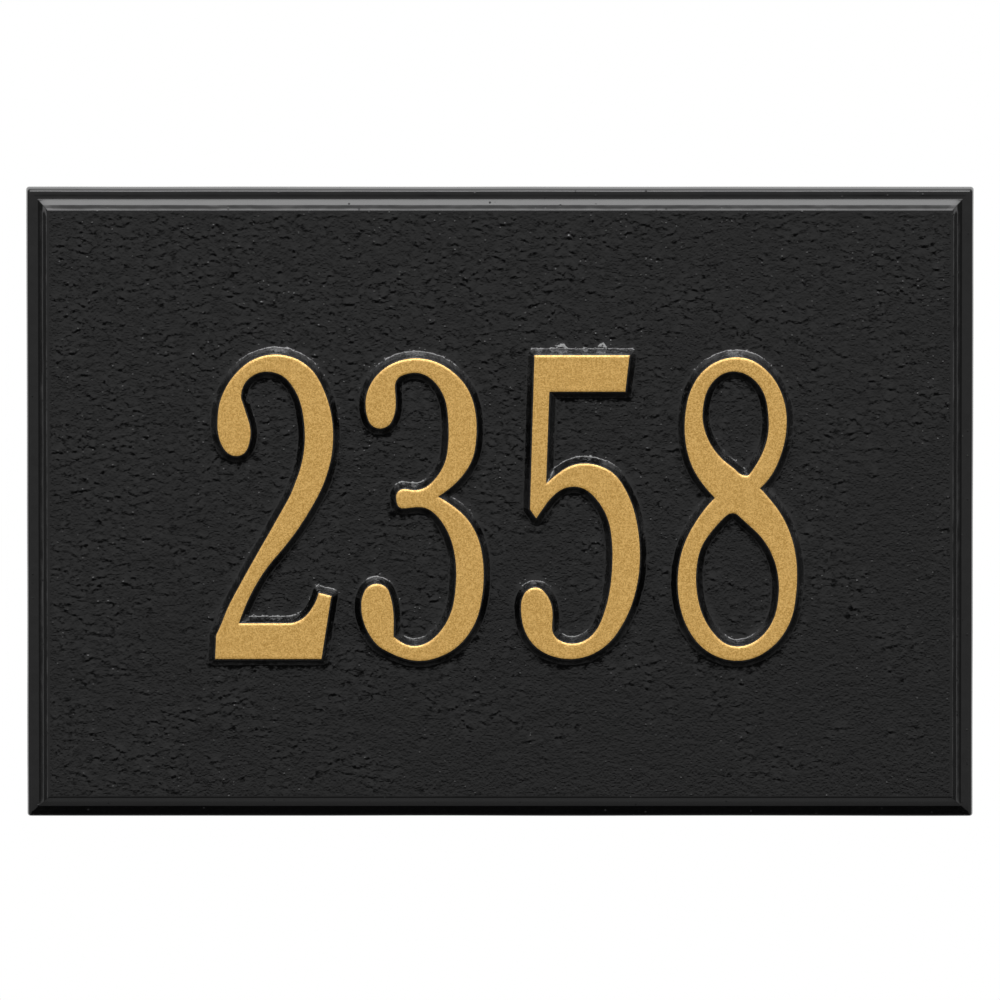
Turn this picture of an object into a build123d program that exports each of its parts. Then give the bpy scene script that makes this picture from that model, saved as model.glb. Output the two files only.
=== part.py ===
"""House-number plaque, one aluminium casting.

A raised panel with a bevelled edge stands on a thin ledge. Four numerals with drafted walls stand on
the panel. The back is hollow inside a flat land, with two tapped bosses for hidden studs.
Sizes are in millimetres. x runs to the reader's right and z up. Depth is measured from the wall
towards the reader, along -y, so the wall plane is y = 0 and the origin is the centre of the back.
"""
import os
from math import atan2, cos, degrees, radians, sin, sqrt

from build123d import *

# Plaque outline
plaque_width = 314.0
plaque_height = 210.0
corner_radius = 1.0

# Rim section, from the edge at the wall inwards
edge_depth = 4.8
edge_draft = 0.6
edge_radius = 0.5
ledge_width = 3.3
bevel_run = 3.2
bevel_rise = 4.0
crest_radius = 3.2

# Numerals: the row is centred on a point of the panel, with a gap after each numeral but the last
numeral_row = "two three five eight".split()
numeral_height = 101.6
numeral_gaps = (8.9, 11.8, 12.1)
numeral_relief = 3.0
numeral_draft = numeral_height / 50
row_centre_x = 2.0
row_centre_z = -0.7

# Hollow back
web_thickness = 4.8
land_width = 10.0
recess_corner_radius = 5.0
recess_draft = 0.7
recess_fillet = 1.2

# Fixing bosses on the horizontal centre line, with blind tapping holes
boss_inset = 42.7
boss_diameter = 14.0
boss_draft = 0.6
tapping_diameter = 4.2
tapping_depth = 6.5

field_depth = edge_depth + bevel_rise
rim_width = edge_draft + ledge_width + bevel_run
recess_depth = field_depth - web_thickness
STANDING = (Align.CENTER, Align.CENTER, Align.MIN)

# Numeral outlines on a grid that is 305 units high from the foot line, with the metal on the left of
# the direction of travel. A knot is x, z and its heading in degrees, and neighbours are joined by two
# tangent arcs. A corner has a heading in and a heading out, and LINE marks a straight side.
grid_height = 305.0
straight_share = 1e-4
parallel_turn = 1e-9
LINE = None
NUMERALS = {
    "two": [[
        (61, 305, 180),
        (7.4, 263.3, 248),
        (2.6, 234.5, 270),
        (10, 209.3, -54),
        (22, 203, 0),
        (36.7, 226.5, 90),
        (34.5, 238.5, 108),
        (28, 258.7, 108),
        (27.4, 263.5, 90),
        (52.5, 287.4, 0),
        (73.5, 278, -50),
        (89.5, 222.5, -90),
        (81.5, 180, -111),
        (73, 159.7, -119),
        (17, 59.5, -118),
        (1, 23.5, -117, LINE),
        (0, 0, LINE, LINE),
        (107, 0, LINE, LINE),
        (116.9, 63.5, LINE, LINE),
        (103.5, 66.8, LINE, -104),
        (73, 36.2, 180),
        (25, 36.2, 180, 72),
        (45.9, 81.3, 58),
        (75.3, 119, 52),
        (101.5, 159.5, 61),
        (118.8, 223.5, 90),
        (103.5, 280.8, 120),
    ]],
    "three": [[
        (55, 301.2, 180),
        (10.3, 276, 240),
        (4.3, 255, 270),
        (19.3, 230.6, 0),
        (35.6, 255.5, 90),
        (34.9, 273.5, 90),
        (54, 286.3, 0),
        (76.6, 273, -54),
        (86.9, 227.5, -90),
        (79, 187.5, -121),
        (54, 169.4, 180),
        (43, 170.5, 180),
        (34.7, 161.5, 270),
        (41.8, 150.8, 0),
        (58, 152, 0),
        (81.8, 135.2, -58),
        (94.4, 86, -90),
        (83, 33.5, -122),
        (53, 13.5, 180),
        (33.3, 22.5, 138, 88),
        (33.5, 37.5, 90),
        (28.6, 67.2, 110),
        (16, 75.7, 180),
        (0, 53.5, 270),
        (14, 16.5, -50),
        (32, 4.8, -25),
        (59, -1.8, 0),
        (84, 4.6, 25),
        (103.2, 19.2, 49),
        (123, 84.5, 90),
        (111.5, 132.8, 121),
        (77.5, 162.7, 151, 32),
        (107, 191, 58),
        (116, 231.5, 90),
        (101.5, 277.9, 129),
    ]],
    "five": [[
        (109.6, 304.3, LINE, LINE),
        (13.8, 304.3, LINE, LINE),
        (9.4, 150, LINE, LINE),
        (16.3, 140.3, LINE, 58),
        (26, 154.5, 56),
        (53.5, 172.5, 0),
        (81.3, 152, -59),
        (91.5, 103.5, -90),
        (79.4, 35.8, -113),
        (52, 15.8, 180),
        (32.7, 30, 92),
        (33.1, 44.5, 90),
        (29.2, 60.5, 118),
        (15.5, 72, 180),
        (0.4, 52, 270),
        (8.2, 21, -58),
        (50, 0, 0),
        (96.5, 25.2, 55),
        (120, 103.5, 90),
        (100, 178.2, 124),
        (64, 196.1, 180),
        (26.7, 176.5, 224, LINE),
        (29.9, 267.3, LINE, LINE),
        (105.3, 267.3, LINE, LINE),
    ]],
    "eight": [[
        (59, 302.2, 180),
        (19, 280, 237),
        (6.8, 231.5, 270),
        (22, 179.5, -55),
        (37.2, 161.3, -45, -135),
        (13, 128.5, -119),
        (0, 76.5, 270),
        (16.4, 21, -54),
        (60, -1.7, 0),
        (105.6, 24, 55),
        (120, 84.5, 90),
        (109.2, 134.7, 115),
        (82.9, 171, 133, 42),
        (99.6, 194, 66),
        (109.5, 238, 90),
        (97.5, 278.5, 123),
    ], [
        (56, 287.6, 0),
        (78.8, 276.5, -49),
        (90.4, 234.5, -90),
        (74.3, 188.5, -126),
        (69, 183.9, 180),
        (52.3, 194.4, 145),
        (28.8, 226, 108),
        (25.8, 242.5, 90),
        (37.7, 279.3, 46),
    ], [
        (55.5, 145.9, 0),
        (64.5, 140, -42),
        (86.8, 117.3, -55),
        (100.7, 71.5, -90),
        (89, 28.5, -127),
        (60, 13, 180),
        (31.7, 32.9, 122),
        (19.5, 81.5, 90),
        (30, 121.5, 55),
        (45, 139.5, 46),
    ]],
}


def at_depth(depth):
    """Plane parallel to the wall, seen from the reader's side, with z as its vertical."""
    return Plane.XZ.offset(depth)


def direction(angle):
    """Unit vector along a heading in degrees."""
    return Vector(cos(radians(angle)), sin(radians(angle)))


def chord_heading(start, end):
    """Heading of the straight line between two points."""
    step = end - start
    return degrees(atan2(step.Y, step.X))


def placed_knots(loop, unit, left):
    """Knots of one outline in millimetres, as point, heading in and heading out."""
    points = [Vector(left + knot[0] * unit, knot[1] * unit) for knot in loop]
    following = points[1:] + points[:1]
    preceding = points[-1:] + points[:-1]
    knots = []
    for knot, point, before, after in zip(loop, points, preceding, following):
        heading_in = chord_heading(before, point) if knot[2] is LINE else knot[2]
        heading_out = chord_heading(point, after) if knot[-1] is LINE else knot[-1]
        knots.append((point, heading_in, heading_out))
    return knots


def grown_knots(knots, distance):
    """The same outline moved outwards, with each corner kept sharp."""
    grown = []
    for point, heading_in, heading_out in knots:
        normal_in = direction(heading_in - 90)
        normal_out = direction(heading_out - 90)
        shift = (normal_in + normal_out) * (distance / (1 + normal_in.dot(normal_out)))
        grown.append((point + shift, heading_in, heading_out))
    return grown


def arc_or_line(start, heading, end):
    """One edge that leaves start along the heading and ends at end."""
    step = end - start
    sideways = direction(heading).cross(step).Z
    if abs(sideways) < straight_share * step.length:
        return Edge.make_line(start, end)
    return Edge.make_tangent_arc(start, direction(heading), end)


def tangent_arcs(start, heading_out, end, heading_in):
    """Two arcs that meet smoothly, leave start and reach end along the headings, on equal tangent arms."""
    leave = direction(heading_out)
    reach = direction(heading_in)
    step = end - start
    along = step.dot(leave + reach)
    turn = 2 * (1 - leave.dot(reach))
    if turn < parallel_turn:
        arm = step.dot(step) / (2 * along)
    else:
        arm = (sqrt(along**2 + turn * step.dot(step)) - along) / turn
    joint = (start + leave * arm + end - reach * arm) / 2
    return [arc_or_line(start, heading_out, joint), arc_or_line(end, heading_in + 180, joint)]


def outline(knots):
    """Closed wire through the knots."""
    edges = []
    for (start, _, heading_out), (end, heading_in, _) in zip(knots, knots[1:] + knots[:1]):
        edges += tangent_arcs(start, heading_out, end, heading_in)
    return Wire(edges)


def drafted_loop(loop, unit, left, foot_z):
    """Solid inside one outline: the drawn size at the numeral's top, wider by the draft at its foot."""
    top_knots = placed_knots(loop, unit, left)
    foot_knots = grown_knots(top_knots, numeral_draft)
    shift = Location((0, foot_z))
    foot = at_depth(field_depth) * (shift * outline(foot_knots))
    top = at_depth(field_depth + numeral_relief) * (shift * outline(top_knots))
    return Solid.make_loft([foot, top], ruled=True)


def numerals():
    """The row of raised numerals, each less its counters."""
    unit = numeral_height / grid_height
    widths = [unit * max(knot[0] for knot in NUMERALS[digit][0]) for digit in numeral_row]
    left = row_centre_x - (sum(widths) + sum(numeral_gaps)) / 2
    foot_z = row_centre_z - numeral_height / 2
    solids = []
    for digit, width, gap in zip(numeral_row, widths, numeral_gaps + (0,)):
        body, *counters = [drafted_loop(loop, unit, left, foot_z) for loop in NUMERALS[digit]]
        solids.append(body - counters if counters else body)
        left += width + gap
    return solids


def slab(depth, inset, front_depth, front_inset):
    """Rectangular slab with sloping sides, between two depths and two insets from the plaque's outline."""
    sections = []
    for level, margin in ((depth, inset), (front_depth, front_inset)):
        sections.append(at_depth(level) * Rectangle(plaque_width - 2 * margin, plaque_height - 2 * margin))
    return loft(sections, ruled=True)


def base():
    """Ledge plate with drafted sides, rounded at its corners and along its front edge."""
    plate = slab(0, 0, edge_depth, edge_draft)
    corners = plate.edges().group_by(Axis.Y)[1]
    plate = fillet(corners, corner_radius)
    front_rim = plate.edges().group_by(Axis.Y)[0]
    return fillet(front_rim, edge_radius)


def panel():
    """Raised panel with mitred bevels and a rounded crest round the field."""
    block = slab(edge_depth, edge_draft + ledge_width, field_depth, rim_width)
    crest = block.edges().group_by(Axis.Y)[0]
    return fillet(crest, crest_radius)


def recess():
    """Space of the hollow back, drafted towards the wall and rounded round its floor."""
    width = plaque_width - 2 * land_width
    height = plaque_height - 2 * land_width
    mouth = at_depth(0) * RectangleRounded(width, height, recess_corner_radius)
    floor = at_depth(recess_depth) * RectangleRounded(
        width - 2 * recess_draft, height - 2 * recess_draft, recess_corner_radius
    )
    space = loft([mouth, floor], ruled=True)
    floor_edges = space.edges().group_by(Axis.Y)[0]
    return fillet(floor_edges, recess_fillet)


def into_wall_side(x):
    """Plane on the wall at a boss, looking into the casting."""
    return Plane((x, 0, 0), z_dir=(0, -1, 0))


def boss(x):
    """Tapered boss from the wall plane to the recess floor."""
    radius = boss_diameter / 2
    return into_wall_side(x) * Cone(radius, radius + boss_draft, recess_depth, align=STANDING)


def tapping_hole(x):
    """Blind hole in a boss, open at the wall."""
    return into_wall_side(x) * Cylinder(tapping_diameter / 2, tapping_depth, align=STANDING)


def plaque():
    """The whole casting."""
    boss_x = plaque_width / 2 - boss_inset
    boss_places = (-boss_x, boss_x)
    body = base() + panel() - recess()
    body += [boss(x) for x in boss_places]
    body -= [tapping_hole(x) for x in boss_places]
    body += numerals()
    return body


os.makedirs("parts", exist_ok=True)
export_step(plaque().solid(), "parts/address_plaque.step")
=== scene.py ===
import math

import bmesh
import bpy
import numpy as np
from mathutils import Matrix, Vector, kdtree, noise
from mathutils.geometry import delaunay_2d_cdt


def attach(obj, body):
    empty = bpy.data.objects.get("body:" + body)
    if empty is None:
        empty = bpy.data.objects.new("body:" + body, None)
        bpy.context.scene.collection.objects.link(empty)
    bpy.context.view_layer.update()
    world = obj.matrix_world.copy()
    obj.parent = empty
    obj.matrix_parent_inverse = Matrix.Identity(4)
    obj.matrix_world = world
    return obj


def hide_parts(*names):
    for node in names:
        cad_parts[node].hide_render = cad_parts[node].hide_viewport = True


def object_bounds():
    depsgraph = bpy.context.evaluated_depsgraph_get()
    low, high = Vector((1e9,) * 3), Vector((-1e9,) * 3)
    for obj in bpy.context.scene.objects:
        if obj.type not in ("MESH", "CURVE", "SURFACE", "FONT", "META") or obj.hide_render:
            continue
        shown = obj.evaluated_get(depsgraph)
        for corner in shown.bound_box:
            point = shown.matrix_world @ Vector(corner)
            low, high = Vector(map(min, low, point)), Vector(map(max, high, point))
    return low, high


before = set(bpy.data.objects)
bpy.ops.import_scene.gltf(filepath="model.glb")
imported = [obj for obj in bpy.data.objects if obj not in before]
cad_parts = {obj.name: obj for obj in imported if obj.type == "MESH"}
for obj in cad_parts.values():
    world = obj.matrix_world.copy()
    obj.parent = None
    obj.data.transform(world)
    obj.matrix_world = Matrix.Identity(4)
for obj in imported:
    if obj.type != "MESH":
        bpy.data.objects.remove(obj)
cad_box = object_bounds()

# Lengths of the casting are in millimetres and become metres in its mesh. Those of the stage are in metres.
MM = 0.001
SEED = 2358
NODE = "address_plaque"

# The solid's own form, repeated from its source.
EDGE_DEPTH = 4.8
EDGE_DRAFT = 0.6
LEDGE_WIDTH = 3.3
BEVEL_RUN = 3.2
FIELD_DEPTH = 8.8
CORNER_RADIUS = 1.0
NUMERAL_RELIEF = 3.0
NUMERAL_DRAFT = 2.032
LAND_WIDTH = 10.0
RECESS_DEPTH = 4.0
RECESS_DRAFT = 0.7
RECESS_CORNER_RADIUS = 5.0
RECESS_FILLET = 1.2
BOSS_INSET = 42.7
BOSS_RADIUS = 7.0
BOSS_DRAFT = 0.6
HOLE_RADIUS = 2.1
HOLE_DEPTH = 6.5
HALF_WIDTH, HALF_HEIGHT = cad_box[1].x / MM, cad_box[1].z / MM

# Small roundings of the casting that the solid leaves out, and the steps that each of them takes.
BACK_EDGE_RADIUS = 0.3
LEDGE_EDGE_RADIUS = 1.0
BEVEL_FOOT_RADIUS = 0.35
CREST_RADIUS = 0.38
LAND_EDGE_RADIUS = 0.5
HOLE_EDGE_RADIUS = 0.25
HOLE_FLOOR_RADIUS = 0.2
HOLE_TAPER = 0.06
RIM_STEPS = (3, 4, 3, 2, 6)
RECESS_STEPS = (2, 3)
BOSS_STEPS = (2, 2, 2, 3)

# Corners in plan get sharper from ring to ring, down to a least radius.
CORNER_SHARPENING = 0.25
CORNER_LEAST = 0.12
RECESS_CORNER_SHARPENING = 0.5
RECESS_CORNER_LEAST = 0.5

# Flat stretches at the ends of the sections.
BACK_MARGIN = 1.2
FIELD_MARGIN = 0.7
FLOOR_MARGIN = 4.0
HOLE_MARGIN = 0.9

# Rim: the ledge falls off outwards, except at the top, and the bevel is hollow between two straight runs.
LEDGE_FALL = 0.15
LEDGE_FALL_DOWN = 0.30
KNEE_RUN = 1.65
KNEE_RISE = 1.86
KNEE_RADIUS = 4.0
RIM_WAVE = 0.14
RIM_WAVE_MOST = 0.25
RIM_WAVE_LENGTH = 55.0
STREAK_HEIGHT = 0.02
STREAK_LENGTH = 12.0

# Numeral walls: a rounded edge, a straight wall and a sloped skirt at the foot.
NUMERAL_EDGE_RADIUS = 1.6
NUMERAL_FOOT_RADIUS = 0.3
NUMERAL_TOP_RUN = 3.0
NUMERAL_SKIRT_HEIGHT = 0.18
NUMERAL_SKIRT_RUN = 0.45
NUMERAL_SKIRT_END = 0.45
NUMERAL_EDGE_STEPS = 5
NUMERAL_FOOT_STEPS = 1

# Gold ends at one line of the rounded edge. Where the edge faces up, the gold is carried further down it as
# a painted highlight that makes the upper edges lighter.
GOLD_LINE = 2
GOLD_PAINTED_HIGHLIGHT_RISE = 0.9
GOLD_PAINTED_HIGHLIGHT_FACING_UP = (0.0, 0.6)

# Marks of points, from which a face takes the number of its material.
GOLD_MARK = 2
RIM_MARK = -1
BLACK_MATERIAL = 0
GOLD_MATERIAL = 1
RIM_MATERIAL = 2

# Rough metal along the feet of the numerals, with two crumbs above the third, whose top is steeper.
FLASH_POWER = 6
FLASH_HEIGHT = 0.16
FLASH_SHIFT = 0.22
FLASH_LEVEL = 0.3
FLASH_LENGTH = 1.5
FLASH_FINE_SHARE = 0.5
FLASH_FINE_LENGTH = 0.6
FLASH_CRUMBS = ((20.1, 52.1), (33.8, 52.1))
FLASH_CRUMB = 2.4
FLASH_CRUMB_RADIUS = 1.3
STEEP_FROM = 8.0
STEEP_TO = 48.0
STEEP_ABOVE = 50.6
STEEP_SHIFT = 0.3

# Wrinkles of the field: short laps of enamel, steep below and gently sloped above.
WRINKLE_TRIES = 8800
WRINKLE_MARGIN = 1.0
WRINKLE_SHARE = 0.52
WRINKLE_SHARE_LEFT = 0.27
WRINKLE_SHARE_UP = 0.40
WRINKLE_SHARE_PATCH = 0.8
WRINKLE_HALF_LENGTH = 0.45
WRINKLE_LENGTH_SPREAD = 0.5
WRINKLE_TILT = math.radians(22)
WRINKLE_LEANING = 0.12
WRINKLE_LEAN = 3.5
WRINKLE_HEIGHT = 0.125
WRINKLE_HEIGHT_SHARES = (0.5, 1.4)
WRINKLE_BEND = 0.22
WRINKLE_RAMP = 2.1
WRINKLE_LIP = 0.25
WRINKLE_FOOT = -0.43
WRINKLE_TAIL = -1.3
WRINKLE_SINK = -0.6
WRINKLE_END = 0.25
WRINKLE_END_POWER = 1.5
WRINKLE_ROWS = (0.55, WRINKLE_LIP, WRINKLE_FOOT, -0.75)
WRINKLE_LENGTHS = (0.42, 0.75)
WRINKLE_COLUMNS = ((0,), (-0.5, 0.5), (-0.75, 0, 0.75))

# Gentle unevenness of the field, the numeral tops and the floor of the recess.
PATCH_LENGTH = 24.0
SWELL_HEIGHT = 0.03
SWELL_LENGTH = 7.0
TOP_SWELL = 0.03
TOP_SWELL_LENGTH = 14.0
BACK_GRAIN = 0.14
BACK_GRAIN_LENGTH = 6.0

# Layers of the noise. The streaks of the rim take the inset of their ring as the layer.
SWELL_LAYER = 0.0
WAVE_LAYER = 2.0
PATCH_LAYER = 4.0
GRAIN_LAYER = 5.0
FLASH_LAYER = 7.0
FLASH_FINE_LAYER = 9.0

# Mesh density.
OUTLINE_STEP = 0.85
DISTANCE_STEP = 0.12
FIELD_STEP = 2.4
TOP_STEP = 1.6
BACK_STEP = 3.2
RIM_STEP = 1.3
BOSS_STEP = 1.3
RIM_COLUMNS = 120
RIM_ROWS = 80
CORNER_STEPS = 4
CIRCLE_LEAST = 16
CLEARANCE = 0.45
CLOSEST = 0.15

# Outlines of the tessellated solid: a turn above the first is a corner, a longer side is straight.
CORNER_TURN = math.radians(15)
STRAIGHT_SIDE = 3.8

# Tolerances, and the kind of triangulation that stays inside its outer line.
FLAT_SLACK = 0.001
DISTANCE_SLACK = 0.01
MERGE_DIGITS = 4
SHEET_SLACK = 1e-6
WELD_DISTANCE = 1e-4
INSIDE_ONLY = 1

# Flat chart of the casting, with the back above the front.
BACK_CHART = 224.0
CHART_SPREAD = 1.01
CHART_MARGIN = 0.004

# Enamel: cells of the patterns to the metre, lengths within a cell in cells, and heights in millimetres.
NOISE_RANGE = (0.3, 0.7)
NOISE_DETAIL = 2.0
NOISE_ROUGHNESS = 0.55
TONE_CELLS = 900.0
TONE_DETAIL = 3.0
TONE_ROUGHNESS = 0.65
GLOSS_CELLS = 160.0
GLOSS_DETAIL = 3.0
BLACK_TONES = ((0.0001, 0.0001, 0.0001), (0.0014, 0.0014, 0.0015))
FIELD_ROUGHNESS = (0.08, 0.13)
PEEL_CELLS = 420.0
PEEL_HEIGHT = 0.08
GRAIN_CELLS = 1200.0
GRAIN_HEIGHT = 0.085
SPECK_CELLS = 600.0
SPECK_SHARE = 0.36
SPECK_RADIUS = 0.22
SPECK_HEIGHT = 0.08
DASH_COLUMNS = 480.0
DASH_ROWS = 720.0
DASH_SHARES = (0.02, 0.22)
DASH_PATCH_CELLS = 45.0
DASH_STEP = ((0.05, 0.5), (0.36, 0.0), (0.60, 1.0), (0.98, 0.5))
DASH_ENDS = (0.5, 0.15)
DASH_BORDER = 0.25
DASH_HEIGHT = 0.04
RIM_ROUGHNESS = (0.07, 0.11)
FLOW_CELLS = 90.0
FLOW_HEIGHT = 0.10
RIM_SPECK_SHARE = 0.05
RIM_SPECK_HEIGHT = 0.10
GOLD_TONES = ((0.398, 0.224, 0.049), (0.617, 0.380, 0.117))
GOLD_METALLIC = 0.35
GOLD_ROUGHNESS = (0.24, 0.36)
GOLD_GLOSS_CELLS = 900.0
FLAKE_CELLS = 3600.0
GOLD_GRAIN_CELLS = 3000.0
GOLD_GRAIN_HEIGHT = 0.04

# Floor of the stage.
FLOOR_HALF_WIDTH = 0.6
FLOOR_NEAR = -0.25
FLOOR_FAR = 0.9
FLOOR_HEIGHT = -0.42
FLOOR_COLOUR = (0.78, 0.78, 0.77, 1)
FLOOR_ROUGHNESS = 0.8

# Brightness of the studio by elevation in degrees, in front of the plaque, beside it and behind it.
FRONT_LIGHT = (
    (-90, 0.30), (-75, 0.25), (-58, 0.04), (-20, 0.03), (-13, 0.05), (-8, 0.46), (-5, 0.57), (0, 0.65),
    (8, 0.76), (15, 0.68), (45, 1.0), (62, 1.6), (70, 1.7), (76, 1.7), (80, 1.8), (84, 5.4), (90, 5.4),
)
SIDE_LIGHT = (
    (-90, 0.45), (-60, 0.22), (-20, 0.43), (-5, 0.57), (0, 0.65), (15, 0.72), (45, 1.0), (62, 1.6),
    (70, 1.7), (76, 1.7), (80, 1.8), (84, 5.4), (90, 5.4),
)
BACK_LIGHT = (
    (-90, 0.24), (-40, 0.3), (-20, 0.38), (-8, 0.5), (8, 0.92), (40, 0.9), (79, 0.9), (83, 5.4), (90, 5.4),
)
BESIDE = (0.35, 0.55)
BEHIND = (0.02, 0.14)

# Share of that brightness by the sideways part of the direction: a strip of light stands at either side.
SIDE_SHARE = (
    (0.0, 1.0), (0.80, 1.0), (0.92, 0.3), (0.955, 0.25), (0.960, 1.9), (0.976, 1.9), (0.982, 0.25),
)

# Key light.
KEY_ELEVATION = math.radians(38)
KEY_DISTANCE = 2.5
KEY_WIDTH = 2.4
KEY_HEIGHT = 1.0
KEY_RADIANCE = 8.0

# Camera.
CAMERA_ELEVATION = math.radians(6)
CAMERA_DISTANCE = 8.0
CAMERA_REACH = 100.0
CAMERA_SENSOR = 36.0
FRAME_WIDTH = 0.33175
AIM_HEIGHT = 0.0005


def unit(vectors):
    return vectors / np.linalg.norm(vectors, axis=-1, keepdims=True)


def rough(places, length, layer):
    """Smooth noise at places in x and z, between about -1 and 1, with bumps of the given length."""
    return np.array([noise.noise(Vector((x / length, z / length, layer))) for x, z in places])


# Outlines read from the solid.


def welded_mesh(node):
    """The node's corner points in millimetres, merged, and its triangles."""
    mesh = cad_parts[node].data
    mesh.calc_loop_triangles()
    points = np.array([v.co for v in mesh.vertices]) / MM
    triangles = np.array([t.vertices for t in mesh.loop_triangles])
    points, merged = np.unique(np.round(points, MERGE_DIGITS), axis=0, return_inverse=True)
    return points, merged.reshape(-1)[triangles]


def flat_loops(points, triangles, depth):
    """The closed edges, in x and z, of the flat faces at a depth in front of the wall."""
    flat = np.all(np.abs(points[triangles][:, :, 1] + depth) < FLAT_SLACK, axis=1)
    sides = set()
    for a, b, c in triangles[flat]:
        sides.update(((a, b), (b, c), (c, a)))
    following = {a: b for a, b in sides if (b, a) not in sides}
    loops = []
    while following:
        start = min(following)
        loop = [start]
        at = following.pop(start)
        while at != start:
            loop.append(at)
            at = following.pop(at)
        loops.append(points[loop][:, [0, 2]])
    return loops


def mirrored(tangent, chord):
    """A tangent at one end of an arc, from the tangent at its other end and its chord."""
    return 2 * np.dot(tangent, chord) * chord - tangent


def end_tangents(loop):
    """The directions in which a curve through the loop's points arrives at and leaves each of them."""
    side = np.roll(loop, -1, 0) - loop
    length = np.linalg.norm(side, axis=1)[:, None]
    after = side / length
    before = np.roll(after, 1, 0)
    length_before = np.roll(length, 1, 0)
    turn = before[:, 0] * after[:, 1] - before[:, 1] * after[:, 0]
    corner = (np.abs(turn) > math.sin(CORNER_TURN)) | (np.sum(before * after, 1) < 0)
    smooth = unit(before * length + after * length_before)
    smooth = np.where(length > STRAIGHT_SIDE, after, smooth)
    smooth = np.where(length_before > STRAIGHT_SIDE, before, smooth)
    arrive, leave = smooth.copy(), smooth.copy()
    count = len(loop)
    for i in np.flatnonzero(corner):
        following, previous = (i + 1) % count, i - 1
        leave[i] = after[i] if corner[following] else mirrored(smooth[following], after[i])
        arrive[i] = before[i] if corner[previous] else mirrored(smooth[previous], before[i])
    return arrive, leave


def sampled_outline(loop, step):
    """Points along a smooth curve through the loop, with the curve's direction before and after each."""
    arrive, leave = end_tangents(loop)
    places, before, after = [], [], []
    for i, start in enumerate(loop):
        j = (i + 1) % len(loop)
        end = loop[j]
        length = np.linalg.norm(end - start)
        count = max(1, round(length / step))
        for k in range(count):
            t = k / count
            place = start * (2 * t**3 - 3 * t**2 + 1) + end * (3 * t**2 - 2 * t**3)
            place = place + length * (leave[i] * (t**3 - 2 * t**2 + t) + arrive[j] * (t**3 - t**2))
            slope = (end - start) * (6 * t - 6 * t**2)
            slope = slope + length * (leave[i] * (3 * t**2 - 4 * t + 1) + arrive[j] * (3 * t**2 - 2 * t))
            places.append(place)
            before.append(arrive[i] if k == 0 else unit(slope))
            after.append(leave[i] if k == 0 else unit(slope))
    return np.array(places), np.array(before), np.array(after)


def tree_of(points):
    tree = kdtree.KDTree(len(points))
    for i, (x, z) in enumerate(points):
        tree.insert((x, z, 0), i)
    tree.balance()
    return tree


def outward(direction):
    return np.array((direction[1], -direction[0]))


def moved_point(place, before, after, distance):
    """The places that one outline point takes when the outline moves outwards."""
    turn = before[0] * after[1] - before[1] * after[0]
    angle = math.atan2(turn, float(np.dot(before, after)))
    if abs(angle) < CORNER_TURN:
        return [place + distance * outward(unit(before + after))]
    if angle * distance < 0:
        mitre = outward(before) + outward(after)
        return [place + distance * mitre / (1 + np.dot(before, after))]
    first = outward(before)
    count = max(2, math.ceil(abs(angle * distance) / OUTLINE_STEP) + 1)
    fan = []
    for turned in np.linspace(0, angle, count):
        c, s = math.cos(turned), math.sin(turned)
        fan.append(place + distance * np.array((c * first[0] - s * first[1], s * first[0] + c * first[1])))
    return fan


def moved_outline(outline, distance, tree):
    """An outline moved outwards, without the stretches that come too near another part of it."""
    kept = []
    for place, before, after in zip(*outline):
        for moved in moved_point(place, before, after, distance):
            nearest = tree.find((moved[0], moved[1], 0))[2]
            if nearest < abs(distance) - DISTANCE_SLACK:
                continue
            if kept and np.linalg.norm(moved - kept[-1]) < CLOSEST:
                continue
            kept.append(moved)
    if np.linalg.norm(kept[0] - kept[-1]) < CLOSEST:
        kept.pop()
    return np.array(kept)


def outline_normals(line):
    """The outward directions at the points of a closed line."""
    along = unit(np.roll(line, -1, 0) - np.roll(line, 1, 0))
    return np.stack((along[:, 1], -along[:, 0]), 1)


def inside(points, loop):
    """Which of the points lie inside a closed loop."""
    odd = np.zeros(len(points), bool)
    for (x0, z0), (x1, z1) in zip(loop, np.roll(loop, -1, 0)):
        if z0 == z1:
            continue
        spans = (points[:, 1] > min(z0, z1)) & (points[:, 1] <= max(z0, z1))
        crossing = x0 + (points[:, 1] - z0) * (x1 - x0) / (z1 - z0)
        odd ^= spans & (points[:, 0] < crossing)
    return odd


def in_numerals(points, loops):
    """Which of the points lie inside an odd number of the loops, and so not in a numeral's counter."""
    odd = np.zeros(len(points), bool)
    for loop in loops:
        odd ^= inside(points, loop)
    return odd


# Sections with rounded corners, and rings.


def rounded_section(corners, radii, steps):
    """A section of straight runs with each inner corner rounded to its radius, in so many steps."""
    corners = [np.array(c, float) for c in corners]
    section = [corners[0]]
    for before, at, after, radius, count in zip(corners, corners[1:], corners[2:], radii, steps):
        one, two = unit(before - at), unit(after - at)
        half = 0.5 * math.acos(float(np.clip(np.dot(one, two), -1, 1)))
        centre = at + unit(one + two) * radius / math.sin(half)
        reach = radius / math.tan(half)
        first, last = at + one * reach - centre, at + two * reach - centre
        swing = math.acos(float(np.clip(np.dot(first, last) / radius**2, -1, 1)))
        for k in range(count + 1):
            t = k / count
            arm = (math.sin((1 - t) * swing) * first + math.sin(t * swing) * last) / math.sin(swing)
            section.append(centre + arm)
    section.append(corners[-1])
    return np.array(section)


def divided(section, longest):
    """A section with points added until no run is longer than a limit."""
    points = [section[0]]
    for start, end in zip(section, section[1:]):
        count = math.ceil(np.linalg.norm(end - start) / longest)
        points.extend(start + (end - start) * k / count for k in range(1, count + 1))
    return np.array(points)


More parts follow.
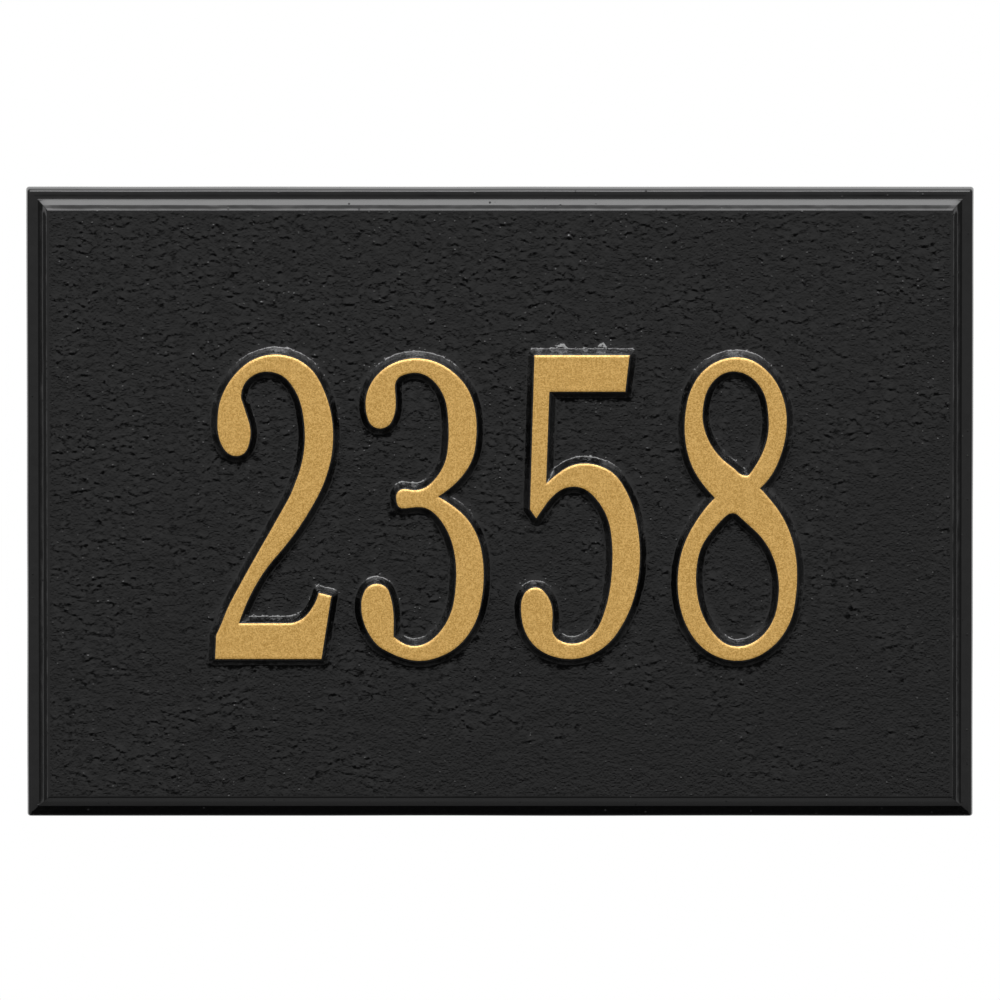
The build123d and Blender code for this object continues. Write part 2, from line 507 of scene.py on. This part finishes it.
def numeral_section():
    """Distance outside a numeral's edge against height above the field."""
    wall_end = NUMERAL_DRAFT * (1 - NUMERAL_SKIRT_HEIGHT / NUMERAL_RELIEF)
    skirt_end = wall_end + NUMERAL_SKIRT_RUN
    corners = [
        (-NUMERAL_TOP_RUN, NUMERAL_RELIEF),
        (0, NUMERAL_RELIEF),
        (wall_end, NUMERAL_SKIRT_HEIGHT),
        (skirt_end, 0),
        (skirt_end + NUMERAL_SKIRT_END, 0),
    ]
    radii = NUMERAL_EDGE_RADIUS, NUMERAL_FOOT_RADIUS, NUMERAL_FOOT_RADIUS
    steps = NUMERAL_EDGE_STEPS, NUMERAL_FOOT_STEPS, NUMERAL_FOOT_STEPS
    return rounded_section(corners, radii, steps)[1:]


def rim_section():
    """Inset from the plaque's outline against depth, from the flat back round to the field."""
    bevel_foot = EDGE_DRAFT + LEDGE_WIDTH
    crest = bevel_foot + BEVEL_RUN
    corners = [
        (BACK_MARGIN, 0),
        (0, 0),
        (EDGE_DRAFT, EDGE_DEPTH),
        (bevel_foot, EDGE_DEPTH),
        (bevel_foot + KNEE_RUN, EDGE_DEPTH + KNEE_RISE),
        (crest, FIELD_DEPTH),
        (crest + FIELD_MARGIN, FIELD_DEPTH),
    ]
    radii = BACK_EDGE_RADIUS, LEDGE_EDGE_RADIUS, BEVEL_FOOT_RADIUS, KNEE_RADIUS, CREST_RADIUS
    return divided(rounded_section(corners, radii, RIM_STEPS), RIM_STEP)


def recess_section():
    """Inset from the plaque's outline against depth, from the land into the hollow back."""
    corners = [
        (LAND_WIDTH - BACK_MARGIN, 0),
        (LAND_WIDTH, 0),
        (LAND_WIDTH + RECESS_DRAFT, RECESS_DEPTH),
        (LAND_WIDTH + FLOOR_MARGIN, RECESS_DEPTH),
    ]
    return rounded_section(corners, (LAND_EDGE_RADIUS, RECESS_FILLET), RECESS_STEPS)


def boss_section():
    """Radius against depth, from the bottom of the tapping hole over the boss to the recess floor."""
    corners = [
        (HOLE_RADIUS - HOLE_TAPER - HOLE_MARGIN, HOLE_DEPTH),
        (HOLE_RADIUS - HOLE_TAPER, HOLE_DEPTH),
        (HOLE_RADIUS, 0),
        (BOSS_RADIUS, 0),
        (BOSS_RADIUS + BOSS_DRAFT, RECESS_DEPTH),
        (BOSS_RADIUS + FLOOR_MARGIN, RECESS_DEPTH),
    ]
    radii = HOLE_FLOOR_RADIUS, HOLE_EDGE_RADIUS, LAND_EDGE_RADIUS, RECESS_FILLET
    return rounded_section(corners, radii, BOSS_STEPS)


def rounded_rectangle(inset, radius, columns, rows):
    """Points round the plaque at an inset, as many for every inset, so that rings of them can be joined."""
    inner = np.array((HALF_WIDTH - inset - radius, HALF_HEIGHT - inset - radius))
    arcs = []
    for quarter, signs in enumerate(((1, 1), (-1, 1), (-1, -1), (1, -1))):
        turns = math.pi / 2 * (quarter + np.arange(CORNER_STEPS + 1) / CORNER_STEPS)
        arcs.append(inner * signs + radius * np.stack((np.cos(turns), np.sin(turns)), 1))
    ring = []
    for arc, following, count in zip(arcs, arcs[1:] + arcs[:1], (columns, rows, columns, rows)):
        side = following[0] - arc[-1]
        ring += [arc, arc[-1] + side * np.arange(1, count)[:, None] / count]
    return np.concatenate(ring)


def circle(centre, radius, step):
    count = max(CIRCLE_LEAST, round(2 * math.pi * radius / step))
    turns = np.arange(count) * 2 * math.pi / count
    return np.array(centre) + radius * np.stack((np.cos(turns), np.sin(turns)), 1)


# Points to triangulate.


class Sheet:
    """Points in x and z with a depth and a mark each, and the closed lines that triangles may not cross."""

    def __init__(self):
        self.places, self.depths, self.marks, self.lines = [], [], [], []

    def add(self, places, depths, mark=0):
        first = len(self.places)
        self.places.extend(map(tuple, places))
        self.depths.extend(depths)
        self.marks.extend([mark] * len(places))
        return first

    def add_line(self, places, depths, mark=0):
        first, count = self.add(places, depths, mark), len(places)
        self.lines.extend((first + i, first + (i + 1) % count) for i in range(count))

    def triangles(self, facing_front):
        """Points, faces, marks and the places of the points on the flat chart of the casting."""
        places = [Vector(p) for p in self.places]
        made = delaunay_2d_cdt(places, self.lines, [], INSIDE_ONLY, SHEET_SLACK)
        source = [indices[0] for indices in made[3]]
        flat = np.array(self.places)[source]
        points = np.stack((flat[:, 0], -np.array(self.depths)[source], flat[:, 1]), 1)
        faces = [f if facing_front else f[::-1] for f in made[2]]
        chart = flat if facing_front else flat * (-1, 1) + (0, BACK_CHART)
        return points, faces, np.array(self.marks)[source], chart


def grid(low, high, step):
    """Evenly spread points over a box, every other row shifted by half a step."""
    rows = np.arange(low[1], high[1], step * math.sqrt(0.75))
    spread = []
    for i, z in enumerate(rows):
        x = np.arange(low[0] + (i % 2) * step / 2, high[0], step)
        spread.append(np.stack((x, np.full(len(x), z)), 1))
    return np.concatenate(spread)


def clear_of(points, tree, clearance):
    """Which of the points lie further than a clearance from all points of a tree."""
    return np.array([tree.find((x, z, 0))[2] > clearance for x, z in points], bool)


def thinned(points, closest):
    """The points without those that lie closer than a limit to an earlier one."""
    taken, kept = {}, []
    for i, (x, z) in enumerate(points):
        column, row = math.floor(x / closest), math.floor(z / closest)
        near = [p for c in (-1, 0, 1) for r in (-1, 0, 1) for p in taken.get((column + c, row + r), ())]
        if all((x - px) ** 2 + (z - pz) ** 2 >= closest**2 for px, pz in near):
            taken.setdefault((column, row), []).append((x, z))
            kept.append(i)
    return points[kept]


class Wrinkles:
    """Short laps in the enamel of the field, in patches, and more of them to the left and at the top."""

    def __init__(self, rng, half_width, half_height):
        count = WRINKLE_TRIES
        x = rng.uniform(-half_width, half_width, count)
        z = rng.uniform(-half_height, half_height, count)
        chance = rng.uniform(0, 1, count)
        half = WRINKLE_HALF_LENGTH * np.exp(rng.normal(0, WRINKLE_LENGTH_SPREAD, count))
        tilt = rng.normal(0, WRINKLE_TILT, count)
        tilt = np.where(rng.uniform(0, 1, count) < WRINKLE_LEANING, WRINKLE_LEAN * tilt, tilt)
        height = WRINKLE_HEIGHT * rng.uniform(*WRINKLE_HEIGHT_SHARES, count)
        bend = rng.normal(0, WRINKLE_BEND, count)
        centre = np.stack((x, z), 1)
        share = WRINKLE_SHARE - WRINKLE_SHARE_LEFT * x / half_width + WRINKLE_SHARE_UP * z / half_height
        keep = chance < share + WRINKLE_SHARE_PATCH * rough(centre, PATCH_LENGTH, PATCH_LAYER)
        self.centre, self.half, self.height, self.bend = centre[keep], half[keep], height[keep], bend[keep]
        self.along = np.stack((np.cos(tilt), np.sin(tilt)), 1)[keep]
        self.across = np.stack((-np.sin(tilt), np.cos(tilt)), 1)[keep]

    def points(self):
        """The points that each wrinkle needs so that its lip and foot are drawn."""
        spread = []
        for i, centre in enumerate(self.centre):
            reach = self.half[i]
            columns = WRINKLE_COLUMNS[np.searchsorted(WRINKLE_LENGTHS, reach, side="right")]
            places = [(reach * share, v) for share in columns for v in WRINKLE_ROWS]
            places += [(end * (reach + WRINKLE_END), 0) for end in (-1, 1)]
            for u, v in places:
                spread.append(centre + u * self.along[i] + (v + self.bend[i] * u * u) * self.across[i])
        return np.array(spread)

    def lift(self, points):
        """How far the wrinkles raise each of the points above the field."""
        tree = tree_of(points)
        raised = np.zeros(len(points))
        for i, (x, z) in enumerate(self.centre):
            reach = self.half[i] + WRINKLE_RAMP + WRINKLE_END
            near = [item[1] for item in tree.find_range((x, z, 0), reach)]
            if not near:
                continue
            arm = points[near] - self.centre[i]
            u, v = arm @ self.along[i], arm @ self.across[i]
            ends = np.clip(1 - (u / (self.half[i] + WRINKLE_END)) ** 2, 0, 1) ** WRINKLE_END_POWER
            raised[near] += self.height[i] * ends * wrinkle_shape(v - self.bend[i] * u * u)
        return raised


def wrinkle_shape(v):
    """A wrinkle's section: a long slope down to the lip, a step to the foot and a short rise below it."""
    above = np.clip((WRINKLE_RAMP - v) / (WRINKLE_RAMP - WRINKLE_LIP), 0, 1) ** 2
    step = np.interp(v, (WRINKLE_FOOT, WRINKLE_LIP), (WRINKLE_SINK, 1))
    below = WRINKLE_SINK * np.clip((v - WRINKLE_TAIL) / (WRINKLE_FOOT - WRINKLE_TAIL), 0, 1) ** 2
    return np.where(v > WRINKLE_LIP, above, np.where(v > WRINKLE_FOOT, step, below))


# The casting.


def flash_at(line):
    """How much rough metal stands at places along the foot of a numeral."""
    away = np.min([np.hypot(line[:, 0] - x, line[:, 1] - z) for x, z in FLASH_CRUMBS], axis=0)
    crumb = FLASH_CRUMB * np.exp(-((away / FLASH_CRUMB_RADIUS) ** 2))
    fine = FLASH_FINE_SHARE * rough(line, FLASH_FINE_LENGTH, FLASH_FINE_LAYER)
    return FLASH_LEVEL + crumb + rough(line, FLASH_LENGTH, FLASH_LAYER) + fine


def steep_at(line):
    """1 along the straight top of the third numeral, whose wall is steeper than the others, else 0."""
    x, z = line[:, 0], line[:, 1]
    return np.where((x > STEEP_FROM) & (x < STEEP_TO) & (z > STEEP_ABOVE), 1.0, 0.0)


def wall_line(line, k, section):
    """A line along a numeral's wall and its heights, roughened at the foot, or bent where the gold ends,
    which reaches further down edges that face up as a painted highlight.
    """
    distance, height = section[k]
    normals = outline_normals(line)
    foot = max(0.0, 1 - height / NUMERAL_RELIEF) ** FLASH_POWER
    flash, steep = flash_at(line) * foot, steep_at(line) * foot
    line = line + (FLASH_SHIFT * flash - STEEP_SHIFT * steep)[:, None] * normals
    heights = height + FLASH_HEIGHT * np.maximum(flash, 0)
    if k == GOLD_LINE:
        # Painted highlight: the gold is carried further down the rounded edge where it faces up.
        rise = GOLD_PAINTED_HIGHLIGHT_RISE * np.interp(normals[:, 1], GOLD_PAINTED_HIGHLIGHT_FACING_UP, (0, 1))
        line = line + (rise * (section[k + 1][0] - distance))[:, None] * normals
        heights = height + rise * (section[k + 1][1] - height)
    elif k == len(section) - 1:
        heights = np.zeros(len(line))
    return line, heights


def add_numeral_walls(sheet, loops):
    """Lines up the walls of the numerals. Returns the innermost and the outermost lines."""
    tree = tree_of(np.concatenate([sampled_outline(loop, DISTANCE_STEP)[0] for loop in loops]))
    section = numeral_section()
    tops, feet = [], []
    for loop in loops:
        outline = sampled_outline(loop, OUTLINE_STEP)
        for k, (distance, _) in enumerate(section):
            line, heights = wall_line(moved_outline(outline, distance, tree), k, section)
            mark = max(0, min(GOLD_MARK, GOLD_LINE + 1 - k))
            add = sheet.add_line if k <= NUMERAL_EDGE_STEPS else sheet.add
            add(line, FIELD_DEPTH + heights, mark)
            if k == 0:
                tops.append(line)
        feet.append(line)
    return tops, feet


def add_field(sheet, feet, half, rng):
    """Points of the field and its wrinkles, clear of the rim and of the numerals' feet."""
    wrinkles = Wrinkles(rng, *(half - WRINKLE_MARGIN))
    spread = np.concatenate((wrinkles.points(), grid(-half, half, FIELD_STEP)))
    spread = thinned(spread, CLOSEST)
    spread = spread[np.all(np.abs(spread) < half - CLEARANCE, axis=1)]
    spread = spread[~in_numerals(spread, feet)]
    spread = spread[clear_of(spread, tree_of(np.concatenate(feet)), CLEARANCE)]
    swell = SWELL_HEIGHT * rough(spread, SWELL_LENGTH, SWELL_LAYER)
    sheet.add(spread, FIELD_DEPTH + wrinkles.lift(spread) + swell)


def add_numeral_tops(sheet, tops):
    """Points within the gold tops of the numerals."""
    edges = np.concatenate(tops)
    spread = grid(edges.min(0), edges.max(0), TOP_STEP)
    spread = spread[in_numerals(spread, tops)]
    spread = spread[clear_of(spread, tree_of(edges), CLEARANCE)]
    swell = TOP_SWELL * rough(spread, TOP_SWELL_LENGTH, SWELL_LAYER)
    sheet.add(spread, FIELD_DEPTH + NUMERAL_RELIEF - TOP_SWELL + swell, GOLD_MARK)


def front_sheet(loops, rim, rng):
    """The field and the numerals, inside the rim's last ring."""
    sheet = Sheet()
    sheet.add_line(rim, np.full(len(rim), FIELD_DEPTH))
    tops, feet = add_numeral_walls(sheet, loops)
    add_field(sheet, feet, rim.max(0), rng)
    add_numeral_tops(sheet, tops)
    return sheet


def rim_ring(inset, depth, radius):
    """The places and depths of one ring of the rim, uneven as a casting is."""
    places = rounded_rectangle(inset, radius, RIM_COLUMNS, RIM_ROWS)
    share = max(0.0, 1 - inset / (EDGE_DRAFT + LEDGE_WIDTH))
    fall = (LEDGE_FALL - LEDGE_FALL_DOWN * places[:, 1] / HALF_HEIGHT) * share * min(1.0, depth / EDGE_DEPTH)
    streak = STREAK_HEIGHT * math.sin(math.pi * min(1.0, depth / FIELD_DEPTH))
    depths = depth + streak * rough(places, STREAK_LENGTH, inset) - fall
    wave = (rough(places, RIM_WAVE_LENGTH, WAVE_LAYER) - RIM_WAVE_MOST) * RIM_WAVE * share
    half = np.array((HALF_WIDTH - inset, HALF_HEIGHT - inset))
    return places * (1 + wave[:, None] / half), depths


def rim_rings():
    """Rings from the flat back round to the field: their places, depths and places on the chart."""
    section = rim_section()
    runs = np.linalg.norm(np.diff(section, axis=0), axis=1)
    rings = []
    for k, (inset, depth) in enumerate(section):
        radius = max(CORNER_RADIUS - CORNER_SHARPENING * inset, CORNER_LEAST)
        unrolled = section[-1][0] - runs[k:].sum()
        chart = rounded_rectangle(unrolled, radius, RIM_COLUMNS, RIM_ROWS)
        rings.append((*rim_ring(inset, depth, radius), chart))
    return rings


def add_recess(sheet):
    """Rings from the land down into the hollow back. Returns them all."""
    rings = []
    for inset, depth in recess_section():
        radius = RECESS_CORNER_RADIUS - RECESS_CORNER_SHARPENING * (inset - LAND_WIDTH)
        radius = max(radius, RECESS_CORNER_LEAST)
        ring = rounded_rectangle(inset, radius, RIM_COLUMNS // 2, RIM_ROWS // 2)
        sheet.add_line(ring, np.full(len(ring), depth))
        rings.append(ring)
    return rings


def add_boss(sheet, centre):
    """Rings from the bottom of a boss's hole out to the floor of the recess. Returns them all."""
    rings = []
    for radius, depth in boss_section():
        ring = circle(centre, radius, BOSS_STEP)
        sheet.add_line(ring, np.full(len(ring), depth))
        rings.append(ring)
    sheet.add([centre], [HOLE_DEPTH])
    return rings


def back_sheet(rim):
    """The land, the hollow back and the bosses, inside the rim's first ring."""
    sheet = Sheet()
    sheet.add_line(rim, np.zeros(len(rim)))
    recess = add_recess(sheet)
    lines = [rim] + recess
    spread = grid((-HALF_WIDTH, -HALF_HEIGHT), (HALF_WIDTH, HALF_HEIGHT), BACK_STEP)
    spread = spread[inside(spread, recess[-1])]
    for side in (-1, 1):
        centre = (side * (HALF_WIDTH - BOSS_INSET), 0)
        lines += add_boss(sheet, centre)
        spread = spread[np.linalg.norm(spread - centre, axis=1) > BOSS_RADIUS + FLOOR_MARGIN]
    spread = spread[clear_of(spread, tree_of(np.concatenate(lines)), 2 * CLEARANCE)]
    grain = BACK_GRAIN * rough(spread, BACK_GRAIN_LENGTH, GRAIN_LAYER)
    sheet.add(spread, RECESS_DEPTH + grain)
    return sheet


def joined_rings(rings):
    """Quads between neighbouring rings."""
    count = len(rings[0][0])
    points = np.concatenate([np.stack((p[:, 0], -d, p[:, 1]), 1) for p, d, _ in rings])
    faces = []
    for r in range(len(rings) - 1):
        low, high = r * count, (r + 1) * count
        for i in range(count):
            j = (i + 1) % count
            faces.append((low + i, low + j, high + j, high + i))
    return points, faces, np.full(len(points), RIM_MARK), np.concatenate([chart for _, _, chart in rings])


def material_of(marks):
    """The number of a face's material, from the marks of its points."""
    if marks[0] == RIM_MARK:
        return RIM_MATERIAL
    gold = min(marks) > 0 and max(marks) == GOLD_MARK
    return GOLD_MATERIAL if gold else BLACK_MATERIAL


def casting_mesh():
    """One closed mesh of the casting. The numeral tops take the second material and the rim the third."""
    rng = np.random.default_rng(SEED)
    loops = flat_loops(*welded_mesh(NODE), FIELD_DEPTH + NUMERAL_RELIEF)
    rings = rim_rings()
    parts = [
        front_sheet(loops, rings[-1][0], rng).triangles(True),
        joined_rings(rings),
        back_sheet(rings[0][0]).triangles(False),
    ]
    faces, first = [], 0
    for part_points, part_faces, _, _ in parts:
        faces.extend(tuple(first + i for i in f) for f in part_faces)
        first += len(part_points)
    points, marks, chart = (np.concatenate([part[k] for part in parts]) for k in (0, 2, 3))
    mesh = bpy.data.meshes.new("plaque_casting")
    mesh.from_pydata((points * MM).tolist(), [], faces)
    mesh.polygons.foreach_set("material_index", [material_of(marks[list(f)]) for f in faces])
    mesh.polygons.foreach_set("use_smooth", [True] * len(faces))
    add_chart(mesh, chart)
    weld(mesh)
    return mesh


def add_chart(mesh, chart):
    """Lays the front with its unrolled rim, and the back above it, on one square map."""
    corners = np.zeros(len(mesh.loops), np.int32)
    mesh.loops.foreach_get("vertex_index", corners)
    spread = (chart - chart.min(0)) / (np.ptp(chart, axis=0).max() * CHART_SPREAD) + CHART_MARGIN
    mesh.uv_layers.new(name="OFBake").uv.foreach_set("vector", spread[corners].ravel())


def weld(mesh):
    """Joins the front, the rim and the back where their points meet."""
    edit = bmesh.new()
    edit.from_mesh(mesh)
    bmesh.ops.remove_doubles(edit, verts=edit.verts, dist=WELD_DISTANCE * MM)
    edit.to_mesh(mesh)
    edit.free()


# Shader nodes.


def add_node(tree, kind, inputs):
    """A node whose inputs are linked to sockets or set to plain values, by their names or numbers."""
    node = tree.nodes.new(kind)
    for key, value in inputs.items():
        if isinstance(value, bpy.types.NodeSocket):
            tree.links.new(value, node.inputs[key])
        else:
            node.inputs[key].default_value = value
    return node


def math_node(tree, operation, *values):
    node = add_node(tree, "ShaderNodeMath", dict(enumerate(values)))
    node.operation = operation
    return node.outputs["Value"]


def noise_node(tree, place, cells, detail=NOISE_DETAIL, roughness=NOISE_ROUGHNESS):
    inputs = {"Vector": place, "Scale": cells, "Detail": detail, "Roughness": roughness}
    return add_node(tree, "ShaderNodeTexNoise", inputs).outputs["Fac"]


def spread_node(tree, value, low, high):
    """Noise spread over a range."""
    inputs = {"Value": value, "To Min": low, "To Max": high}
    inputs["From Min"], inputs["From Max"] = NOISE_RANGE
    return add_node(tree, "ShaderNodeMapRange", inputs).outputs["Result"]


def smooth_node(tree, value, low, high):
    """0 at and before the low value, 1 at and past the high one."""
    node = add_node(tree, "ShaderNodeMapRange", {"Value": value, "From Min": low, "From Max": high})
    node.interpolation_type = "SMOOTHSTEP"
    return node.outputs["Result"]


def ramp_node(tree, value, stops):
    """A colour that goes straight from stop to stop as the value grows from 0 to 1."""
    node = add_node(tree, "ShaderNodeValToRGB", {"Fac": value})
    elements = node.color_ramp.elements
    for k, (position, colour) in enumerate(stops):
        stop = elements[k] if k < 2 else elements.new(position)
        stop.position = position
        stop.color = (*colour, 1)
    return node.outputs["Color"]


def level_node(tree, value, stops):
    """A plain level that goes from stop to stop in the same way."""
    return ramp_node(tree, value, [(position, (level, level, level)) for position, level in stops])


def split_node(tree, vector):
    return add_node(tree, "ShaderNodeSeparateXYZ", {"Vector": vector}).outputs


def mix_node(tree, one, two, share):
    return add_node(tree, "ShaderNodeMix", {"Factor": share, "A": one, "B": two}).outputs["Result"]


def lots_node(tree, colour):
    """The random lots that a cell draws, from its colour."""
    return add_node(tree, "ShaderNodeSeparateColor", {"Color": colour}).outputs


def cell_node(tree, flat, feature):
    node = add_node(tree, "ShaderNodeTexVoronoi", {"Vector": flat, "Scale": 1.0})
    node.voronoi_dimensions = "2D"
    node.feature = feature
    return node.outputs


def object_place(tree):
    return tree.nodes.new("ShaderNodeTexCoord").outputs["Object"]


def flat_place(tree, columns, rows):
    """Places on the face of the plaque, in cells of the given numbers to the metre."""
    split = split_node(tree, object_place(tree))
    x = math_node(tree, "MULTIPLY", split["X"], columns)
    z = math_node(tree, "MULTIPLY", split["Z"], rows)
    return add_node(tree, "ShaderNodeCombineXYZ", {"X": x, "Y": z}).outputs["Vector"]


# Enamels.


def speck_height(tree, most):
    """Small round specks in a few cells of a scattered pattern."""
    cells = cell_node(tree, flat_place(tree, SPECK_CELLS, SPECK_CELLS), "F1")
    chosen = smooth_node(tree, lots_node(tree, cells["Color"])["Red"], most, 0)
    spot = smooth_node(tree, cells["Distance"], SPECK_RADIUS, 0)
    return math_node(tree, "MULTIPLY", spot, chosen)


def dash_step(tree, along, across, lot):
    """The height of a short lap across a cell, leaning by chance: a dip with a lip above it."""
    lean = math_node(tree, "SUBTRACT", lot, 0.5)
    leaned = math_node(tree, "ADD", across, math_node(tree, "MULTIPLY", along, lean))
    step = level_node(tree, math_node(tree, "ADD", leaned, 0.5), DASH_STEP)
    return math_node(tree, "SUBTRACT", step, 0.5)


def dash_height(tree, place):
    """Short laps, finer than those of the mesh, one in some of the cells of a scattered pattern."""
    flat = flat_place(tree, DASH_COLUMNS, DASH_ROWS)
    cells = cell_node(tree, flat, "F1")
    lots = lots_node(tree, cells["Color"])
    arm = add_node(tree, "ShaderNodeVectorMath", {0: flat, 1: cells["Position"]})
    arm.operation = "SUBTRACT"
    split = split_node(tree, arm.outputs["Vector"])
    height = dash_step(tree, split["X"], split["Y"], lots["Green"])
    ends = smooth_node(tree, math_node(tree, "ABSOLUTE", split["X"]), *DASH_ENDS)
    fade = smooth_node(tree, cell_node(tree, flat, "DISTANCE_TO_EDGE")["Distance"], 0, DASH_BORDER)
    share = spread_node(tree, noise_node(tree, place, DASH_PATCH_CELLS), *DASH_SHARES)
    chosen = math_node(tree, "LESS_THAN", lots["Red"], share)
    for factor in (ends, fade, chosen):
        height = math_node(tree, "MULTIPLY", height, factor)
    return height


def new_material(name):
    material = bpy.data.materials.new(name)
    material.use_nodes = True
    return material, material.node_tree, material.node_tree.nodes["Principled BSDF"]


def coat(tree, shader, colour, roughness, bumps):
    """Feeds a shader with its colour, its roughness and layers of bump, each a height and its rise."""
    layer = {}
    for height, rise in bumps:
        inputs = {"Strength": 1.0, "Distance": rise * MM, "Height": height, **layer}
        layer = {"Normal": add_node(tree, "ShaderNodeBump", inputs).outputs["Normal"]}
    tree.links.new(colour, shader.inputs["Base Color"])
    tree.links.new(roughness, shader.inputs["Roughness"])
    tree.links.new(layer["Normal"], shader.inputs["Normal"])


def black_coat(tree, shader, place, roughness, bumps):
    tone = noise_node(tree, place, TONE_CELLS, TONE_DETAIL, TONE_ROUGHNESS)
    colour = ramp_node(tree, tone, zip(NOISE_RANGE, BLACK_TONES))
    gloss = noise_node(tree, place, GLOSS_CELLS, GLOSS_DETAIL)
    coat(tree, shader, colour, spread_node(tree, gloss, *roughness), bumps)


def black_enamel():
    """Glossy black, with orange peel, grain, fine laps and specks."""
    material, tree, shader = new_material("black_enamel")
    place = object_place(tree)
    bumps = (
        (noise_node(tree, place, PEEL_CELLS), PEEL_HEIGHT),
        (noise_node(tree, place, GRAIN_CELLS), GRAIN_HEIGHT),
        (dash_height(tree, place), DASH_HEIGHT),
        (speck_height(tree, SPECK_SHARE), SPECK_HEIGHT),
    )
    black_coat(tree, shader, place, FIELD_ROUGHNESS, bumps)
    return material


def rim_enamel():
    """The same enamel on the rim, where it has flowed out smooth."""
    material, tree, shader = new_material("rim_enamel")
    place = object_place(tree)
    bumps = (
        (noise_node(tree, place, FLOW_CELLS), FLOW_HEIGHT),
        (speck_height(tree, RIM_SPECK_SHARE), RIM_SPECK_HEIGHT),
    )
    black_coat(tree, shader, place, RIM_ROUGHNESS, bumps)
    return material


def gold_enamel():
    """Satin gold with fine flakes."""
    material, tree, shader = new_material("gold_enamel")
    place = object_place(tree)
    flakes = add_node(tree, "ShaderNodeTexVoronoi", {"Vector": place, "Scale": FLAKE_CELLS})
    lots = lots_node(tree, flakes.outputs["Color"])
    colour = ramp_node(tree, lots["Red"], zip(NOISE_RANGE, GOLD_TONES))
    gloss = noise_node(tree, place, GOLD_GLOSS_CELLS, GLOSS_DETAIL)
    bumps = ((noise_node(tree, place, GOLD_GRAIN_CELLS), GOLD_GRAIN_HEIGHT),)
    coat(tree, shader, colour, spread_node(tree, gloss, *GOLD_ROUGHNESS), bumps)
    shader.inputs["Metallic"].default_value = GOLD_METALLIC
    return material


def pale_floor():
    material, _, shader = new_material("pale_floor")
    shader.inputs["Base Color"].default_value = FLOOR_COLOUR
    shader.inputs["Roughness"].default_value = FLOOR_ROUGHNESS
    return material


# The casting in its place, stage, light and camera.


def add_casting():
    mesh = casting_mesh()
    for material in (black_enamel(), gold_enamel(), rim_enamel()):
        mesh.materials.append(material)
    piece = bpy.data.objects.new("plaque_casting", mesh)
    bpy.context.scene.collection.objects.link(piece)
    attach(piece, "root")
    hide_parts(NODE)


def add_floor():
    mesh = bpy.data.meshes.new("floor")
    x, near, far, z = FLOOR_HALF_WIDTH, FLOOR_NEAR, FLOOR_FAR, FLOOR_HEIGHT
    mesh.from_pydata([(-x, near, z), (x, near, z), (x, far, z), (-x, far, z)], [], [(0, 1, 2, 3)])
    mesh.materials.append(pale_floor())
    floor = bpy.data.objects.new("floor", mesh)
    floor.visible_glossy = False
    bpy.context.scene.collection.objects.link(floor)


def by_elevation(stops):
    """Stops by elevation in degrees as stops by height on a unit sphere, from 0 below to 1 above."""
    return [(0.5 + 0.5 * math.sin(math.radians(elevation)), level) for elevation, level in stops]


def studio_level(tree):
    """The brightness of the studio in each direction."""
    split = split_node(tree, tree.nodes.new("ShaderNodeTexCoord").outputs["Generated"])
    height = add_node(tree, "ShaderNodeMapRange", {"Value": split["Z"], "From Min": -1}).outputs["Result"]
    lights = FRONT_LIGHT, SIDE_LIGHT, BACK_LIGHT
    front, side, back = (level_node(tree, height, by_elevation(light)) for light in lights)
    sideways = math_node(tree, "ABSOLUTE", split["X"])
    front = mix_node(tree, front, side, smooth_node(tree, sideways, *BESIDE))
    level = mix_node(tree, front, back, smooth_node(tree, split["Y"], *BEHIND))
    return math_node(tree, "MULTIPLY", level, level_node(tree, sideways, SIDE_SHARE))


def add_surroundings():
    """A studio that lights the plaque, in front of plain white."""
    world = bpy.data.worlds.new("studio")
    bpy.context.scene.world = world
    world.use_nodes = True
    tree = world.node_tree
    tree.nodes.clear()
    studio = add_node(tree, "ShaderNodeBackground", {"Color": studio_level(tree)})
    white = add_node(tree, "ShaderNodeBackground", {"Color": (1, 1, 1, 1)})
    seen = tree.nodes.new("ShaderNodeLightPath").outputs["Is Camera Ray"]
    inputs = {0: seen, 1: studio.outputs["Background"], 2: white.outputs["Background"]}
    choose = add_node(tree, "ShaderNodeMixShader", inputs)
    add_node(tree, "ShaderNodeOutputWorld", {"Surface": choose.outputs["Shader"]})


def add_key_light():
    """A wide softbox above and in front of the plaque, aimed at its middle."""
    data = bpy.data.lights.new("key_softbox", "AREA")
    data.shape = "RECTANGLE"
    data.size, data.size_y = KEY_WIDTH, KEY_HEIGHT
    data.energy = KEY_RADIANCE * KEY_WIDTH * KEY_HEIGHT * math.pi
    light = bpy.data.objects.new("key_softbox", data)
    light.location = KEY_DISTANCE * Vector((0, -math.cos(KEY_ELEVATION), math.sin(KEY_ELEVATION)))
    light.rotation_euler = light.location.to_track_quat("Z", "Y").to_euler()
    light.visible_camera = False
    bpy.context.scene.collection.objects.link(light)


def add_camera():
    data = bpy.data.cameras.new("camera")
    data.sensor_width = CAMERA_SENSOR
    data.lens = CAMERA_SENSOR * CAMERA_DISTANCE / FRAME_WIDTH
    data.clip_end = CAMERA_REACH
    camera = bpy.data.objects.new("camera", data)
    towards = Vector((0, -math.cos(CAMERA_ELEVATION), math.sin(CAMERA_ELEVATION)))
    camera.location = Vector((0, 0, AIM_HEIGHT)) + CAMERA_DISTANCE * towards
    camera.rotation_euler = (math.pi / 2 - CAMERA_ELEVATION, 0, 0)
    bpy.context.scene.collection.objects.link(camera)
    bpy.context.scene.camera = camera


bpy.context.scene.view_settings.view_transform = "Standard"
add_casting()
add_floor()
add_surroundings()
add_key_light()
add_camera()
